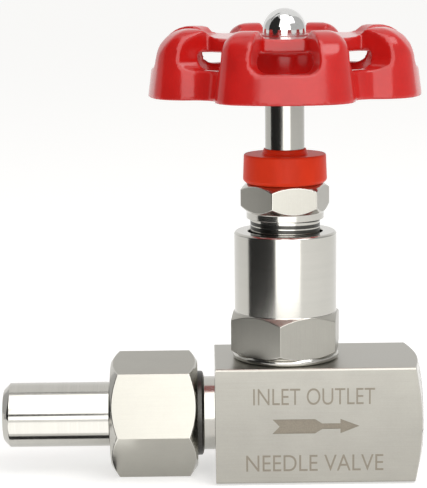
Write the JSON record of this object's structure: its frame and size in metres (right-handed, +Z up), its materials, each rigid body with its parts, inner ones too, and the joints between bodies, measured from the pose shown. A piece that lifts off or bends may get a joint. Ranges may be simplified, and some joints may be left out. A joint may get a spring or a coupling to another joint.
{
  "type": "needle valve",
  "caption": "Needle valve of square stainless bar with a union weld nipple inlet, a female outlet, a screwed bonnet and a red lobed handwheel.",
  "frame": {"origin": "on the body's flat underside, straight below the stem axis", "axes": "+Z up along the stem towards the handwheel, +X along the flow axis towards the female outlet, +Y across the body"},
  "size_m": [0.0905, 0.058, 0.1006],
  "materials": {
    "bar_stainless": "fine ground stainless bar",
    "turned_stainless": "bright turned stainless",
    "polished_stainless": "polished stainless",
    "hard_stainless": "hardened stainless",
    "chrome_plate": "bright plating",
    "copper_gasket": "annealed copper",
    "white_packing": "PTFE",
    "red_plastic": "moulded red polyethylene",
    "red_coat": "glossy baked red coating"
  },
  "bodies": {
    "body": {"valve_body": "bar_stainless", "bonnet": "turned_stainless", "bonnet_gasket": "copper_gasket", "packing_base_washer": "hard_stainless", "packing_ring_lower": "white_packing", "packing_ring_middle": "white_packing", "packing_ring_upper": "white_packing"},
    "needle": {"needle_tip": "hard_stainless", "needle_snap_ring": "hard_stainless"},
    "spindle": {"stem": "polished_stainless", "handwheel": "red_coat", "wheel_flat_washer": "hard_stainless", "wheel_spring_washer": "hard_stainless", "acorn_nut": "chrome_plate"},
    "gland": {"gland_follower": "turned_stainless"},
    "gland_nut": {"packing_nut": "turned_stainless", "packing_nut_cap": "red_plastic"},
    "nipple": {"weld_nipple": "polished_stainless", "nipple_gasket": "white_packing"},
    "union": {"union_nut": "bar_stainless"}
  },
  "joints": [
    {"name": "needle_lift", "type": "slide", "parent": "body", "child": "needle", "axis": [0, 0, 1], "range_m": [0, 0.005]},
    {"name": "wheel_turn", "type": "hinge", "parent": "needle", "child": "spindle", "pos_m": [0, 0, 0.0819], "axis": [0, 0, 1], "range_deg": [0, 1440]},
    {"name": "gland_press", "type": "slide", "parent": "body", "child": "gland", "axis": [0, 0, -1], "range_m": [0, 0.0015], "deforming": ["packing_ring_lower", "packing_ring_middle", "packing_ring_upper"]},
    {"name": "packing_nut_turn", "type": "hinge", "parent": "gland", "child": "gland_nut", "pos_m": [0, 0, 0.0527], "axis": [0, 0, -1], "range_deg": [0, 540]},
    {"name": "nipple_draw", "type": "slide", "parent": "body", "child": "nipple", "axis": [-1, 0, 0], "range_m": [0, 0.01125]},
    {"name": "union_nut_turn", "type": "hinge", "parent": "nipple", "child": "union", "pos_m": [-0.0381, 0, 0.0125], "axis": [-1, 0, 0], "range_deg": [0, 2700]}
  ],
  "couplings": [
    {"joint": "wheel_turn", "follows": "needle_lift", "rad_per_m": 5026.5},
    {"joint": "packing_nut_turn", "follows": "gland_press", "rad_per_m": 6283.1},
    {"joint": "union_nut_turn", "follows": "nipple_draw", "rad_per_m": 4188.7}
  ]
}
